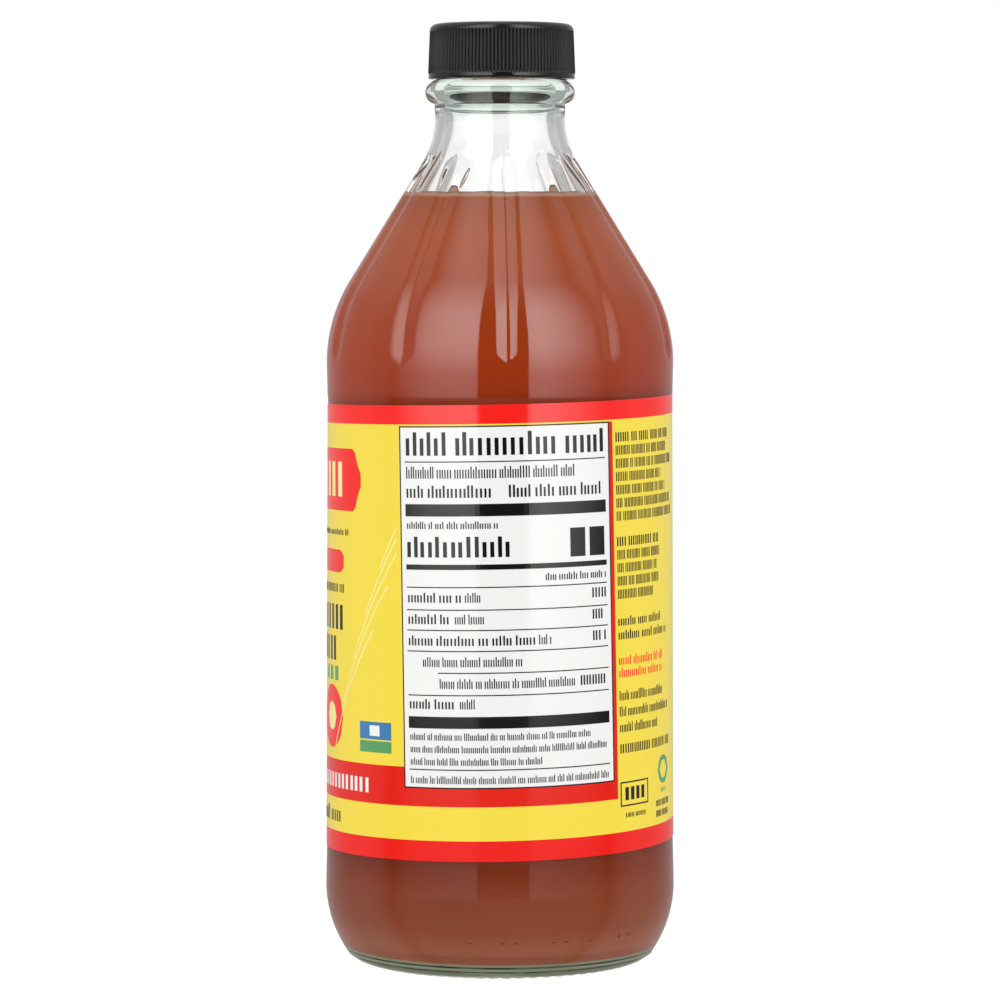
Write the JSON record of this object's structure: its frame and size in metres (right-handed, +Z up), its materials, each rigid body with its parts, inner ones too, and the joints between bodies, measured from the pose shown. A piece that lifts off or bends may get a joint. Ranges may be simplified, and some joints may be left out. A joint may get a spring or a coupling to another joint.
{
  "type": "vinegar bottle",
  "caption": "Shut clear glass bottle of cloudy amber vinegar with a fluted shoulder, a red and yellow wrap label and a ribbed black screw cap.",
  "frame": {"origin": "centre of the bottle's foot, on the surface it stands on", "axes": "+Z up along the bottle's axis; -Y towards the side of the label that the picture shows; +X to the right in that view"},
  "size_m": [0.0714, 0.0714, 0.1907],
  "materials": {
    "clear_glass": "smooth clear flint glass with a faint green tint in the thick base",
    "cloudy_vinegar": "cloudy reddish amber liquid",
    "printed_paper": "gloss printed paper in yellow with red bands and a white panel",
    "black_plastic": "black moulded plastic with fine ribs"
  },
  "bodies": {
    "root": {"glass_bottle": "clear_glass", "vinegar": "cloudy_vinegar", "label": "printed_paper", "screw_cap": "black_plastic"}
  },
  "joints": []
}
